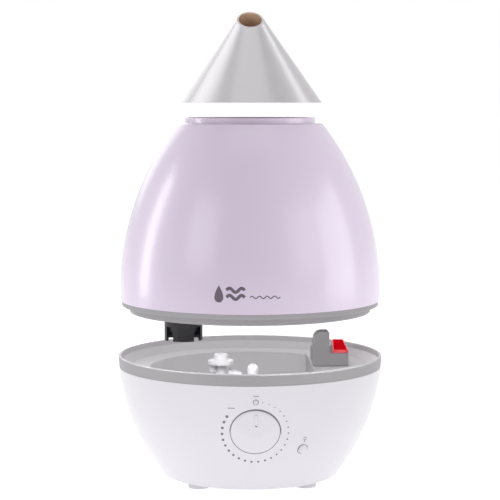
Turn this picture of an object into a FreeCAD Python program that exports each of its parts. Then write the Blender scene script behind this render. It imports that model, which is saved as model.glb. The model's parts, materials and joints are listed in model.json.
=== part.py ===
import FreeCAD, Part
import Sketcher
import math
import os

# Cool mist humidifier, in millimetres, +Z up, front towards -Y.
#
# The origin is at the middle of the base, on the surface that its feet stand on. The tank and the
# nozzle cone are drawn where they sit when closed, and each of their pieces is then raised by the
# lift in its Placement, so the document shows the humidifier opened for filling.

DIMENSIONS = [
    ("rim_radius", 112.5), ("rim_height", 106), ("band_height", 9.5), ("foot_height", 4),
    ("shell_top_radius", 112), ("shell_foot_radius", 76), ("shell_curve", 175.27), ("wall", 2.2),
    ("lip_radius", 110.3), ("ledge_radius", 103.6), ("ledge_height", 95.6), ("well_radius", 85),
    ("well_floor_radius", 72), ("well_floor", 50), ("shelf_left", 55),
    ("tank_radius", 111), ("tank_height", 149.5), ("tank_straight", 8), ("tank_curve", 232.74),
    ("deck_radius", 61.4), ("collar_radius", 55.1), ("collar_height", 5.1), ("tank_wall", 2.4),
    ("tank_gap", 0.3), ("tank_lift", 47), ("plate_step", 10), ("plate_radius", 102.6),
    ("flange_radius", 109.4), ("chimney_bore", 17), ("funnel_bore", 38),
    ("cone_radius", 60.8), ("cone_slope", 0.7), ("cone_lift", 17.3), ("cone_wall", 1.3),
    ("outlet_low", 64.3), ("outlet_high", 76.7),
    ("tower_left", 54), ("tower_step", 68), ("tower_right", 84), ("tower_front", 9),
    ("tower_back", 38), ("fin_back", 4), ("tower_top", 126), ("tower_low_top", 107), ("tower_wall", 2),
    ("cap_offset", 57), ("cap_radius", 16.9), ("cap_bottom", 71.3), ("cap_top", 95.2),
    ("neck_radius", 13.6), ("neck_bore", 11), ("guide_radius", 8.8), ("guide_bore", 5.6),
    ("dial_height", 57.5), ("dial_tilt", 19.2), ("knob_radius", 20), ("dial_gap", 0.35),
    ("button_height", 41), ("button_side", 23.6), ("button_aim", 8), ("button_tilt", 14),
    ("button_radius", 4.2),
    ("indicator_height", 83.4), ("indicator_tilt", 10.1), ("indicator_radius", 1.9),
    ("gland_height", 30), ("gland_tilt", 28.7),
    ("float_offset", 25), ("stem_radius", 4.5), ("post_offset", 2.5), ("post_top", 97),
    ("mist_offset", 8), ("mist_front", 26), ("disc_radius", 10),
    ("fan_x", 75.5), ("fan_y", 14.5), ("fan_size", 40), ("fan_floor", 78), ("fan_depth", 10),
    ("foot_ring", 63), ("foot_radius", 9), ("screw_ring", 56), ("screw_radius", 1.5),
    ("plate_thickness", 2.5), ("bottom_radius", 71.2),
]

doc = FreeCAD.newDocument("humidifier")


class Size:
    """A length that knows its value and the expression that ties it to the sheet."""

    def __init__(self, value, text=None):
        self.value = float(value)
        self.text = text or f"({float(value)!r})"

    def join(self, other, sign, value):
        return Size(value, f"({self.text} {sign} {other.text})")

    def __add__(self, other):
        other = size(other)
        return self.join(other, "+", self.value + other.value)

    def __radd__(self, other):
        return size(other) + self

    def __sub__(self, other):
        other = size(other)
        return self.join(other, "-", self.value - other.value)

    def __rsub__(self, other):
        return size(other) - self

    def __mul__(self, other):
        other = size(other)
        return self.join(other, "*", self.value * other.value)

    def __rmul__(self, other):
        return size(other) * self

    def __truediv__(self, other):
        other = size(other)
        return self.join(other, "/", self.value / other.value)

    def __neg__(self):
        return Size(-self.value, f"(-1 * {self.text})")


def size(value):
    return value if isinstance(value, Size) else Size(value)


def make_sheet():
    """The spreadsheet of driving dimensions, and a Size for each of its cells."""
    sheet = doc.addObject("Spreadsheet::Sheet", "dims")
    sizes = {}
    for row, (alias, value) in enumerate(DIMENSIONS, 1):
        sheet.set(f"A{row}", str(value))
        sheet.setAlias(f"A{row}", alias)
        sizes[alias] = Size(value, f"dims.{alias}")
    doc.recompute()
    return sizes


S = make_sheet()
RIM = S["rim_height"]
BAND = RIM - S["band_height"]
TANK = RIM + S["tank_gap"]
PLATE = TANK - S["plate_step"]
DECK = TANK + S["tank_height"]
CONE = DECK + S["tank_gap"]
CAP_X = -S["cap_offset"]
FLOAT_X = -S["float_offset"]
FLOOR = S["well_floor"]
BOTTOM = S["foot_height"] + S["plate_thickness"]
SEAM = 0.2
FAN_CORNERS = ((-16, -16), (-16, 16), (16, -16), (16, 16))


# ---------------------------------------------------------------- drawing helpers


def plane_of(body, role):
    """One of a body's own origin planes."""
    return next(f for f in body.Origin.OriginFeatures if f.Role == role)


def arc_through(start, end, radius):
    """The short arc from start to end; a positive radius puts its centre on the left."""
    dx, dy = end[0] - start[0], end[1] - start[1]
    chord = math.hypot(dx, dy)
    rise = math.sqrt(max(radius * radius - chord * chord / 4, 0)) * (1 if radius > 0 else -1)
    centre = FreeCAD.Vector((start[0] + end[0]) / 2 - dy / chord * rise,
                            (start[1] + end[1]) / 2 + dx / chord * rise, 0)
    first, last = (start, end) if radius > 0 else (end, start)
    angles = [math.atan2(p[1] - centre.y, p[0] - centre.x) for p in (first, last)]
    circle = Part.Circle(centre, FreeCAD.Vector(0, 0, 1), abs(radius))
    return Part.ArcOfCircle(circle, angles[0], angles[1])


def pin_point(sketch, edge, end, point):
    """Ties one end of a sketch's edge to the sketch's axes."""
    for kind, axis, length in (("DistanceX", -2, point[0]), ("DistanceY", -1, point[1])):
        if abs(length.value) < 1e-9:
            sketch.addConstraint(Sketcher.Constraint("PointOnObject", edge, end, axis))
        else:
            rule = Sketcher.Constraint(kind, -1, 1, edge, end, length.value)
            number = sketch.addConstraint(rule)
            sketch.setExpression(f"Constraints[{number}]", length.text)


def draw_outline(sketch, points):
    """A closed outline. A point is (x, y), or (x, y, radius) where an arc leaves it."""
    corners = [(size(p[0]), size(p[1])) for p in points]
    bends = [size(p[2]) if len(p) > 2 else None for p in points]
    ends = []
    first = sketch.GeometryCount
    for i, corner in enumerate(corners):
        after = corners[(i + 1) % len(corners)]
        start = (corner[0].value, corner[1].value)
        end = (after[0].value, after[1].value)
        if bends[i] is None:
            sketch.addGeometry(Part.LineSegment(FreeCAD.Vector(*start, 0),
                                                FreeCAD.Vector(*end, 0)), False)
            ends.append((1, 2))
        else:
            sketch.addGeometry(arc_through(start, end, bends[i].value), False)
            ends.append((1, 2) if bends[i].value > 0 else (2, 1))
    count = len(corners)
    for i in range(count):
        j = (i + 1) % count
        rule = Sketcher.Constraint("Coincident", first + i, ends[i][1], first + j, ends[j][0])
        sketch.addConstraint(rule)
    for i, corner in enumerate(corners):
        pin_point(sketch, first + i, ends[i][0], corner)
        if bends[i] is not None:
            rule = Sketcher.Constraint("Radius", first + i, abs(bends[i].value))
            number = sketch.addConstraint(rule)
            text = bends[i].text if bends[i].value > 0 else f"-1 * {bends[i].text}"
            sketch.setExpression(f"Constraints[{number}]", text)


def new_sketch(body, role, name, points):
    """A sketch with one outline on a plane of its body."""
    sketch = body.newObject("Sketcher::SketchObject", name)
    sketch.AttachmentSupport = (plane_of(body, role), "")
    sketch.MapMode = "FlatFace"
    draw_outline(sketch, points)
    return sketch


def turned(name, points):
    """A body of revolution about Z, from an outline of (radius, height) points."""
    body = doc.addObject("PartDesign::Body", name)
    body.Label = name
    sketch = new_sketch(body, "XZ_Plane", name + "_outline", points)
    turn = body.newObject("PartDesign::Revolution", name + "_turn")
    turn.Profile = sketch
    turn.ReferenceAxis = (sketch, ["V_Axis"])
    turn.Angle = 360
    return body


def padded(name, role, points, start, length):
    """A body whose outline lies on an origin plane, pushed along that plane's normal."""
    body = doc.addObject("PartDesign::Body", name)
    body.Label = name
    sketch = new_sketch(body, role, name + "_outline", points)
    sketch.setExpression("AttachmentOffset.Base.z", size(start).text)
    pad = body.newObject("PartDesign::Pad", name + "_pad")
    pad.Profile = sketch
    pad.setExpression("Length", size(length).text)
    return body


def move(item, x=0, y=0, z=0):
    """Ties an object's position to the sheet."""
    for axis, length in zip("xyz", (x, y, z)):
        item.setExpression(f"Placement.Base.{axis}", size(length).text)
    return item


def at_frame(item, frame, x=0, y=0, z=0):
    """Puts an object in a tilted frame on the shell's wall, in place of its tie to the sheet."""
    for axis in "xyz":
        item.setExpression(f"Placement.Base.{axis}", None)
    item.Placement = frame * FreeCAD.Placement(FreeCAD.Vector(x, y, z), FreeCAD.Rotation())
    return item


def cylinder(name, radius, height, x=0, y=0, z=0):
    item = doc.addObject("Part::Cylinder", name)
    item.Label = name
    item.setExpression("Radius", size(radius).text)
    item.setExpression("Height", size(height).text)
    return move(item, x, y, z)


def box(name, low, high):
    """A box between two corners."""
    item = doc.addObject("Part::Box", name)
    item.Label = name
    for side, start, end in zip(("Length", "Width", "Height"), low, high):
        item.setExpression(side, (size(end) - size(start)).text)
    return move(item, *low)


def cone(name, low_radius, high_radius, height, x=0, y=0, z=0):
    item = doc.addObject("Part::Cone", name)
    item.Label = name
    item.setExpression("Radius1", size(low_radius).text)
    item.setExpression("Radius2", size(high_radius).text)
    item.setExpression("Height", size(height).text)
    return move(item, x, y, z)


def fused(name, pieces):
    item = doc.addObject("Part::MultiFuse", name)
    item.Label = name
    item.Shapes = pieces
    item.Refine = True
    return item


def grouped(name, pieces):
    """Identical pieces that lie apart, kept as separate solids of one sub-part."""
    item = doc.addObject("Part::Compound", name)
    item.Label = name
    item.Links = pieces
    return item


def cut(name, base, tools):
    """The base less its tools, with a check that each of them takes something away."""
    tool = tools[0] if len(tools) == 1 else fused(name + "_tools", tools)
    item = doc.addObject("Part::Cut", name)
    item.Label = name
    item.Base = base
    item.Tool = tool
    item.Refine = True
    doc.recompute()
    if item.Shape.Volume >= base.Shape.Volume - 0.01:
        raise ValueError(f"{name}: the tools cut nothing")
    return item


def common(name, base, tool):
    item = doc.addObject("Part::Common", name)
    item.Label = name
    item.Base = base
    item.Tool = tool
    return item


def ring(name, outer, inner, low, high, x=0, y=0):
    """A plain tube between two heights."""
    body = turned(name, [(inner, low), (outer, low), (outer, high), (inner, high)])
    return move(body, x, y)


def spread(count, radius, first=0):
    """Evenly spaced places on a circle, as (x, y, angle in degrees)."""
    places = []
    for i in range(count):
        angle = first + 360 * i / count
        turn = math.radians(angle)
        places.append((radius * math.cos(turn), radius * math.sin(turn), angle))
    return places


def wall_radius(height):
    """The base shell's outer radius at a height, on the arc of its side."""
    top = (S["shell_top_radius"].value, (BAND - SEAM).value)
    foot = (S["shell_foot_radius"].value, (BOTTOM).value)
    curve = S["shell_curve"].value
    arc = arc_through(foot, top, curve)
    return arc.Center.x + math.sqrt(curve ** 2 - (height - arc.Center.y) ** 2)


def wall_frame(height, tilt, side=0, aim=None):
    """A frame on the shell's outer face: Z points out, tilted down, and Y points up the wall.

    side turns the place round the bowl, and aim turns the way that Z points, if it differs.
    """
    radius = wall_radius(height)
    up = FreeCAD.Vector(0, 0, 1)
    around = FreeCAD.Rotation(up, side)
    turn = around if aim is None else FreeCAD.Rotation(up, aim)
    lean = FreeCAD.Rotation(FreeCAD.Vector(1, 0, 0), 90 + tilt)
    spot = around.multVec(FreeCAD.Vector(0, -radius, 0)) + FreeCAD.Vector(0, 0, height)
    return FreeCAD.Placement(spot, turn * lean)


def dome(radius, rise):
    """The radius of the sphere that rises this much over a circle of this radius."""
    radius, rise = size(radius), size(rise)
    return (radius * radius + rise * rise) / (2 * rise)


DIAL = wall_frame(S["dial_height"].value, S["dial_tilt"].value)
BUTTON = wall_frame(S["button_height"].value, S["button_tilt"].value, S["button_side"].value,
                    S["button_aim"].value)
INDICATOR = wall_frame(S["indicator_height"].value, S["indicator_tilt"].value)
GLAND = wall_frame(S["gland_height"].value, S["gland_tilt"].value, 180)


# ---------------------------------------------------------------- the base


def base_shell():
    """The white bowl, with the dial's cup and holes for the button, indicator and gland."""
    wall = S["wall"]
    top, foot = S["shell_top_radius"], S["shell_foot_radius"]
    bottom, seam = S["foot_height"], BAND - SEAM
    hole = S["bottom_radius"] + SEAM
    bowl = turned("shell_bowl", [
        (foot, BOTTOM, S["shell_curve"]), (top, seam), (top - wall, seam, wall - S["shell_curve"]),
        (foot - wall, BOTTOM + 1), (hole, BOTTOM + 0.6), (hole, bottom), (foot - 3.2, bottom, 3.6)])
    bore = S["knob_radius"] + S["dial_gap"]
    cup = at_frame(cylinder("dial_cup", bore + 1.7, 5.4), DIAL, z=-8.4)
    cup_bore = at_frame(cylinder("dial_cup_bore", bore, 20), DIAL, z=-6.8)
    shaft_hole = at_frame(cylinder("shaft_hole", 3.5, 4), DIAL, z=-9)
    with_cup = fused("shell_with_cup", [bowl, cup])
    button_hole = at_frame(cylinder("button_hole", S["button_radius"] + 0.4, 16), BUTTON, z=-8)
    indicator_hole = at_frame(cylinder("indicator_hole", S["indicator_radius"] + 0.1, 12),
                              INDICATOR, z=-6)
    gland_hole = at_frame(cylinder("gland_hole", 6.1, 16), GLAND, z=-8)
    return cut("base_shell", with_cup,
               [cup_bore, shaft_hole, button_hole, indicator_hole, gland_hole])


def basin():
    """The grey liner: rim band, lip, ledge and well, with a dry shelf across its right side."""
    rim, lip, ledge = S["rim_radius"], S["lip_radius"], S["ledge_radius"]
    well, floor_radius = S["well_radius"], S["well_floor_radius"]
    ledge_z, low = S["ledge_height"], FLOOR - S["wall"]
    liner = turned("liner", [
        (0, low), (floor_radius - 4, low, 6.2), (floor_radius + 2, low + 5),
        (well + 2.2, ledge_z - 3), (ledge - 0.4, ledge_z - 2), (ledge + 5, BAND + 2.1),
        (lip, BAND + 2.9), (lip, BAND), (rim - 0.5, BAND), (rim, RIM - 1, 1),
        (rim - 1, RIM), (lip + 0.6, RIM, 0.6), (lip, RIM - 0.6), (lip - 0.3, BAND + 4.9),
        (ledge, ledge_z + 0.4), (ledge - 0.4, ledge_z), (well + 1.5, ledge_z - 1, 1.6),
        (well - 0.1, ledge_z - 2.6), (floor_radius, FLOOR + 4, -4.2), (floor_radius - 4, FLOOR),
        (0, FLOOR)])
    left, top = S["shelf_left"], ledge_z
    gap = box("shelf_gap", (left, -well, low - 1), (well + 20, well, top - 3))
    block = box("shelf_block", (left - 2, -well, low), (well + 20, well, top))
    inside = box("shelf_inside", (left, -well - 1, low - 1), (well + 21, well + 1, top - 2))
    reach = cone("shelf_reach", floor_radius + 1, well + 1.4, top - low, z=low)
    shelf = common("shelf", cut("shelf_tray", block, [inside]), reach)
    posts = [cylinder(f"boss_{i}", 4, low - BOTTOM - 0.2 + 1, x, y, BOTTOM + 0.2)
             for i, (x, y, _) in enumerate(spread(4, S["screw_ring"].value, 65))]
    posts += [cylinder(f"fan_boss_{i}", 3.4, 6, S["fan_x"] + dx, S["fan_y"] + dy,
                       S["fan_floor"] + S["fan_depth"] + 0.1)
              for i, (dx, dy) in enumerate(FAN_CORNERS)]
    solid = fused("basin_solid", [cut("liner_open", liner, [gap]), shelf] + posts)
    air = box("shelf_air_hole", (63.5, -5, top - 4), (81, 34, top + 2))
    mist = cylinder("mist_hole", S["disc_radius"] - 1.4, 6, S["mist_offset"], -S["mist_front"],
                    low - 2)
    drills = [cylinder(f"boss_drill_{i}", S["screw_radius"] + 0.05, 12, x, y, BOTTOM)
              for i, (x, y, _) in enumerate(spread(4, S["screw_ring"].value, 65))]
    drills += [cylinder(f"fan_drill_{i}", S["screw_radius"] + 0.05, 5, S["fan_x"] + dx,
                        S["fan_y"] + dy, S["fan_floor"] + S["fan_depth"] - 0.2)
               for i, (dx, dy) in enumerate(FAN_CORNERS)]
    return cut("basin", solid, [air, mist] + drills)


def duct_tower():
    """The air duct: a thin tall fin with an outlet in its back, on a low and deep block."""
    left, step, right = S["tower_left"], S["tower_step"], S["tower_right"]
    foot, low, top = S["ledge_height"] + 0.1, S["tower_low_top"], S["tower_top"]
    front, back, fin_back = S["tower_front"], S["tower_back"], S["fin_back"]
    wall, bend, corner = S["tower_wall"], 7, 2.6
    block = padded("tower_block", "XZ_Plane", [
        (left, foot), (right, foot), (right, low), (left, low)], -back, back + front)
    fin = padded("tower_fin", "XZ_Plane", [
        (left, foot), (step, foot), (step, top - corner, corner), (step - corner, top),
        (left + bend, top, bend), (left, top - bend)], -fin_back, fin_back + front)
    room = padded("block_room", "XZ_Plane", [
        (left + wall, foot - 1), (right - wall, foot - 1), (right - wall, low - wall),
        (left + wall, low - wall)], wall - back, back + front - wall - wall)
    shaft = padded("fin_room", "XZ_Plane", [
        (left + wall, low - wall - 1), (step - wall, low - wall - 1), (step - wall, top - wall),
        (left + bend, top - wall, bend - wall), (left + wall, top - bend)],
        wall - fin_back, fin_back + front - wall - wall)
    outlet = box("tower_outlet", (left + 3, fin_back - wall - 1, low + 2),
                 (step - 3, fin_back + 1, top - bend))
    return cut("duct_tower", fused("tower_outside", [block, fin]), [room, shaft, outlet])


def light_lens():
    """The red lens: a sloping tray with a raised rim, on the tower's low block."""
    left, right = S["tower_step"] + 2.5, S["tower_right"]
    front, back, low = -S["tower_front"] + 0.2, S["tower_back"] - 0.2, S["tower_low_top"] + 0.1
    body = padded("lens_block", "YZ_Plane", [
        (front, low), (back, low), (back, low + 5.2), (front, low + 2.4)], left, right - left)
    tray = padded("lens_tray", "YZ_Plane", [
        (front + 1.4, low + 0.9), (back - 1.4, low + 3.2), (back - 1.4, low + 9),
        (front + 1.4, low + 9)], left + 1.4, right - left - 2.8)
    return cut("light_lens", body, [tray])


def bottom_plate():
    """The plate that closes the bowl, with air slots under the fan and board standoffs."""
    plate = cylinder("plate_disc", S["bottom_radius"], S["plate_thickness"], 0, 0,
                     S["foot_height"])
    stands = [cylinder(f"standoff_{i}", 3, 7.4, x, y, BOTTOM - 0.4)
              for i, (x, y) in enumerate(((-38, 10), (-38, 42), (14, 10), (14, 42)))]
    solid = fused("plate_solid", [plate] + stands)
    slots = [box(f"air_slot_{i}", (24 + 7 * i, -2, 3), (27 + 7 * i, 26, BOTTOM + 1))
             for i in range(6)]
    holes = [cylinder(f"plate_hole_{i}", S["screw_radius"] + 0.2, 6, x, y, 2)
             for i, (x, y, _) in enumerate(spread(4, S["screw_ring"].value, 65))]
    return cut("bottom_plate", solid, slots + holes)


def feet():
    """Four round feet under the plate, each with a softened lower edge."""
    pieces = []
    for i, (x, y, _) in enumerate(spread(4, S["foot_ring"].value, 45)):
        radius, height = S["foot_radius"], S["foot_height"]
        foot = turned(f"foot_{i}", [(0, 0), (radius - 1, 0, 1), (radius, 1), (radius, height),
                                    (0, height)])
        pieces.append(move(foot, x, y))
    return grouped("feet", pieces)


def bottom_screws():
    """Four screws that hold the plate to the basin's bosses."""
    shank, head = S["screw_radius"], S["screw_radius"] + 1.6
    low = S["foot_height"]
    pieces = []
    for i, (x, y, _) in enumerate(spread(4, S["screw_ring"].value, 65)):
        screw = turned(f"screw_{i}", [(0, low - 1.5), (head - 0.5, low - 1.5), (head, low - 0.6),
                                      (head, low), (shank, low), (shank, low + 10),
                                      (0, low + 11)])
        pieces.append(move(screw, x, y))
    return grouped("bottom_screws", pieces)


def at_mist(item):
    return move(item, S["mist_offset"], -S["mist_front"])


def transducer_disc():
    """The disc that shakes the water into mist."""
    low = FLOOR - S["wall"] - 3.2
    return at_mist(turned("transducer_disc", [(0, low), (S["disc_radius"], low),
                                              (S["disc_radius"], low + 1.2), (0, low + 1.2)]))


def transducer_seal():
    """The rubber ring between the disc and the basin's floor."""
    high = FLOOR - S["wall"]
    bore, edge = S["disc_radius"] - 1.4, S["disc_radius"] + 3
    return at_mist(turned("transducer_seal", [(bore, high - 2), (edge, high - 2), (edge, high),
                                              (bore, high)]))


def transducer_housing():
    """The metal cup that presses the disc and its seal up against the basin."""
    high = FLOOR - S["wall"] - 2
    edge, bore = S["disc_radius"] + 5, S["disc_radius"] + 0.1
    return at_mist(turned("transducer_housing", [
        (S["disc_radius"] - 3, high - 7), (edge, high - 7), (edge, high), (bore, high),
        (bore, high - 1.2), (S["disc_radius"] - 3, high - 1.2)]))


def driver_board():
    """The circuit board that drives the transducer, with its larger components."""
    low = BOTTOM + 7
    board = box("board", (-42, 6, low), (18, 46, low + 1.6))
    chips = [box("board_coil", (2, 12, low + 1), (14, 24, low + 11)),
             box("board_relay", (-4, 30, low + 1), (14, 42, low + 13)),
             box("board_plug", (-40, 10, low + 1), (-34, 24, low + 8))]
    cans = [cylinder(f"board_can_{i}", 3.2, 12, -9, 13 + 9 * i, low + 1) for i in range(3)]
    return fused("driver_board", [board] + chips + cans)


def heat_sink():
    """A finned aluminium block that stands on the board."""
    low = BOTTOM + 8.6
    block = box("sink_block", (-33, 14, low), (-17, 40, low + 18))
    slots = [box(f"sink_slot_{i}", (-31 + 3.4 * i, 13, low + 4), (-29.4 + 3.4 * i, 41, low + 19))
             for i in range(4)]
    return cut("heat_sink", block, slots)


def transformer():
    """The mains transformer: a winding between two halves of an iron core."""
    low = BOTTOM
    winding = box("winding", (-9, -40, low + 4), (29, -14, low + 22))
    core = box("core", (-3, -44, low), (23, -10, low + 26))
    flanges = [box(f"bobbin_flange_{i}", (x, -42, low + 2), (x + 2, -12, low + 24))
               for i, x in enumerate((-11, 29))]
    return fused("transformer", [winding, core] + flanges)


def fan_centre(item, z=0):
    return move(item, S["fan_x"], S["fan_y"], z)


def fan_housing():
    """A square fan frame with a round duct, a motor seat on struts and a fixed pin."""
    half, floor, depth = S["fan_size"] / 2, S["fan_floor"], S["fan_depth"]
    x, y = S["fan_x"], S["fan_y"]
    frame = box("fan_frame", (x - half, y - half, floor), (x + half, y + half, floor + depth))
    duct = cylinder("fan_duct", half - 1.4, depth + 4, x, y, floor - 2)
    seat = cylinder("fan_seat", 9, 1.4, x, y, floor)
    pin = cylinder("fan_pin", 1.5, depth - 1.6, x, y, floor)
    struts = [box("fan_strut_x", (x - half + 1, y - 1.5, floor), (x + half - 1, y + 1.5,
                                                                   floor + 1.4)),
              box("fan_strut_y", (x - 1.5, y - half + 1, floor), (x + 1.5, y + half - 1,
                                                                  floor + 1.4))]
    solid = fused("fan_solid", [cut("fan_ring", frame, [duct]), seat, pin] + struts)
    holes = [cylinder(f"fan_hole_{i}", 1.7, depth + 4, x + dx, y + dy, floor - 2)
             for i, (dx, dy) in enumerate(FAN_CORNERS)]
    return cut("fan_housing", solid, holes)


def fan_screws():
    """Four screws that hang the fan from the shelf."""
    shank, head, low = S["screw_radius"], S["screw_radius"] + 1.4, S["fan_floor"]
    pieces = []
    for i, (dx, dy) in enumerate(FAN_CORNERS):
        screw = turned(f"fan_screw_{i}", [(0, low - 1.8), (head - 0.4, low - 1.8),
                                          (head, low - 1.2), (head, low), (shank, low),
                                          (shank, low + 13.6), (0, low + 14.4)])
        pieces.append(move(screw, S["fan_x"] + dx, S["fan_y"] + dy))
    return grouped("fan_screws", pieces)


def fan_rotor():
    """The fan wheel: a hub with seven slanted blades, turning on the housing's pin."""
    low = S["fan_floor"] + 1.9
    hub = ring("rotor_hub", 8.6, 1.55, low, low + 7.2)
    blades = []
    for i, (x, y, angle) in enumerate(spread(7, 12.4)):
        blade = doc.addObject("Part::Box", f"rotor_blade_{i}")
        blade.Length, blade.Width, blade.Height = 9.4, 1.2, 8.4
        middle = FreeCAD.Placement(FreeCAD.Vector(-4.7, -0.6, -4.2), FreeCAD.Rotation())
        turn = FreeCAD.Rotation(FreeCAD.Vector(0, 0, 1), angle)
        lean = FreeCAD.Rotation(FreeCAD.Vector(1, 0, 0), 52)
        spot = FreeCAD.Vector(x, y, low.value + 3.6)
        blade.Placement = FreeCAD.Placement(spot, turn * lean) * middle
        blades.append(blade)
    return fan_centre(fused("fan_rotor", [hub] + blades))


def at_float(item, z=0):
    return move(item, FLOAT_X, 0, z)


def float_stem():
    """The tube that the level float slides on, standing on the basin's floor."""
    top, radius = 97, S["stem_radius"]
    return at_float(turned("float_stem", [
        (2, FLOOR + 0.05), (radius + 4, FLOOR + 0.05), (radius + 4, FLOOR + 2),
        (radius, FLOOR + 3), (radius, top), (0, top), (0, top - 3), (2, top - 3)]))


def float_retainer():
    """The flange and dimpled cap on top of the stem, with a tab that hangs on the left."""
    low, flange, cap = 97.05, 11, 6
    head = turned("retainer_head", [
        (0, low), (flange, low), (flange, low + 2.4, 1), (flange - 1, low + 3.4),
        (cap + 1.2, low + 3.4, -1.2), (cap, low + 4.6), (cap, low + 7.4, 1.4),
        (cap - 1.4, low + 8.8), (3.4, low + 8.8), (2.2, low + 7.6), (0, low + 7.6)])
    tab = box("retainer_tab", (-9.4, -2.2, 90.5), (-4.65, 2.2, low + 1))
    return at_float(fused("float_retainer", [head, tab]))


def level_float():
    """The ring that rises with the water, with a pocket for its magnet."""
    bore, edge = S["stem_radius"] + 0.3, 10.2
    return at_float(turned("level_float", [
        (bore, 56), (edge - 1.5, 56, 1.5), (edge, 57.5), (edge, 67.5, 1.5), (edge - 1.5, 69),
        (8.2, 69), (8.2, 66), (bore + 1, 66), (bore + 1, 69), (bore, 69)]))


def float_magnet():
    """The ring magnet in the float's pocket."""
    return at_float(ring("float_magnet", 8.1, S["stem_radius"] + 1.4, 66.05, 68.8))


def reed_switch():
    """The sealed switch inside the stem, which the magnet closes."""
    low = 62
    return at_float(turned("reed_switch", [(0, low), (0.9, low), (1.3, low + 1),
                                           (1.3, low + 13), (0.9, low + 14), (0, low + 14)]))


def sensor_arm():
    """The fat slanted arm that leaves the stem to the right and drops to the basin's floor."""
    radius, reach_length = 4.2, 9.6
    collar = ring("arm_collar", S["stem_radius"] + 1.6, S["stem_radius"] + 0.05, 78, 86.5)
    reach = doc.addObject("Part::Cylinder", "arm_reach")
    reach.Radius, reach.Height = radius, reach_length
    lean = FreeCAD.Rotation(FreeCAD.Vector(0, 1, 0), 109)
    reach.Placement = FreeCAD.Placement(FreeCAD.Vector(5.6, 0, 89.4), lean)
    knuckle = doc.addObject("Part::Sphere", "arm_knuckle")
    knuckle.Radius = radius
    knuckle.Placement.Base = reach.Placement.multVec(FreeCAD.Vector(0, 0, reach_length))
    drop = cylinder("arm_drop", radius, knuckle.Placement.Base.z - FLOOR.value - 0.05,
                    knuckle.Placement.Base.x, 0, FLOOR + 0.05)
    solid = fused("arm_solid", [collar, reach, knuckle, drop])
    clear = cylinder("arm_clear", S["stem_radius"] + 0.05, 30, 0, 0, 75)
    return at_float(cut("sensor_arm", solid, [clear]))


def light_post():
    """The round-topped light guide that stands in the middle of the well."""
    radius, top = 4.8, S["post_top"]
    return move(turned("light_post", [
        (0, FLOOR + 0.05), (radius + 2.5, FLOOR + 0.05), (radius + 2.5, FLOOR + 2),
        (radius, FLOOR + 4), (radius, top - radius, radius), (0, top)]), S["post_offset"])


def valve_post():
    """The ribbed pin that lifts the tank's valve when the tank is put down."""
    top = S["cap_bottom"] - 1.1
    pin = cylinder("valve_pin", 3, top - FLOOR - 0.05, 0, 0, FLOOR + 0.05)
    ribs = [box("valve_rib_x", (-8, -1, FLOOR + 0.05), (8, 1, FLOOR + 7)),
            box("valve_rib_y", (-1, -8, FLOOR + 0.05), (1, 8, FLOOR + 7))]
    return move(fused("valve_post", [pin] + ribs), CAP_X)


def potentiometer():
    """The mist control's body behind the dial cup, with a bore for its shaft."""
    can = at_frame(cylinder("pot_can", 8, 5.4), DIAL, z=-14)
    bore = at_frame(cylinder("pot_bore", 3.05, 6), DIAL, z=-12.6)
    return cut("potentiometer", can, [bore])


def indicator_lens():
    """The small round light above the dial's scale."""
    lens = at_frame(turned("indicator_lens", [
        (0, -5), (2.6, -5), (2.6, -3.4), (S["indicator_radius"], -3.4),
        (S["indicator_radius"], 0.1, dome(S["indicator_radius"], 0.7)), (0, 0.8)]), INDICATOR)
    return lens


def cable_gland():
    """The bushing in the back of the bowl that the supply cord would pass through."""
    return at_frame(turned("cable_gland", [
        (3.2, -10), (6, -10), (6, 0.4), (8.4, 0.4), (8.4, 1.6), (7.2, 2.8), (3.2, 2.8)]), GLAND)


def button_switch():
    """The tact switch and its small board behind the button."""
    board = at_frame(box("switch_board", (-7, -7, 0), (7, 7, 1.4)), BUTTON, -7, -7, -17)
    can = at_frame(box("switch_can", (-4, -4, 0), (4, 4, 4.6)), BUTTON, -4, -4, -15.7)
    stem = at_frame(cylinder("switch_stem", 1.6, 2.6), BUTTON, z=-11.2)
    return fused("button_switch", [board, can, stem])


# ---------------------------------------------------------------- dial and button


def dial_knob():
    """The flush round knob: a low dome, scooped above its crease, with a raised pointer."""
    radius, edge, skirt = S["knob_radius"], 0.7, 2
    face_radius, face_low, rise, back = radius - edge, -1.2, 1.4, -6.3
    blank = turned("knob_blank", [
        (3.05, back), (7, back), (7, back + 2.1), (radius - skirt, back + 2.1),
        (radius - skirt, back), (radius, back), (radius, face_low - edge, edge),
        (face_radius, face_low, dome(face_radius, rise)), (0, face_low + rise),
        (0, back + 2.6), (3.05, back + 2.6)])
    crease, slope = -5.5, 6.2
    scoop = doc.addObject("Part::Box", "knob_scoop")
    scoop.Length, scoop.Width, scoop.Height = 60, 40, 8
    lean = FreeCAD.Rotation(FreeCAD.Vector(1, 0, 0), -slope)
    middle = FreeCAD.Placement(FreeCAD.Vector(-30, 0, 0), FreeCAD.Rotation())
    face = FreeCAD.Placement(FreeCAD.Vector(0, crease, 0.05), lean)
    scoop.Placement = face * middle
    pointer = padded("knob_pointer", "XY_Plane", [
        (1.2, 11.5), (1.2, 19.2, 1.3), (-1.2, 19.2), (-1.2, 11.5, 1.3)], -1.2, 1.9)
    pointer.Placement = face
    return at_frame(fused("dial_knob", [cut("knob_scooped", blank, [scoop]), pointer]), DIAL)


def dial_shaft():
    """The control's shaft, which carries the knob."""
    return at_frame(cylinder("dial_shaft", 3, 8.4), DIAL, z=-12.3)


def light_button():
    """The push button for the light, with a flange that holds it behind the wall."""
    radius = S["button_radius"]
    return at_frame(turned("light_button", [
        (0, -7), (radius + 1.4, -7), (radius + 1.4, -5.6), (radius, -5.6), (radius, -0.7, 0.5),
        (radius - 0.5, -0.2, dome(radius - 0.5, 0.4)), (0, 0.2)]), BUTTON)


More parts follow.
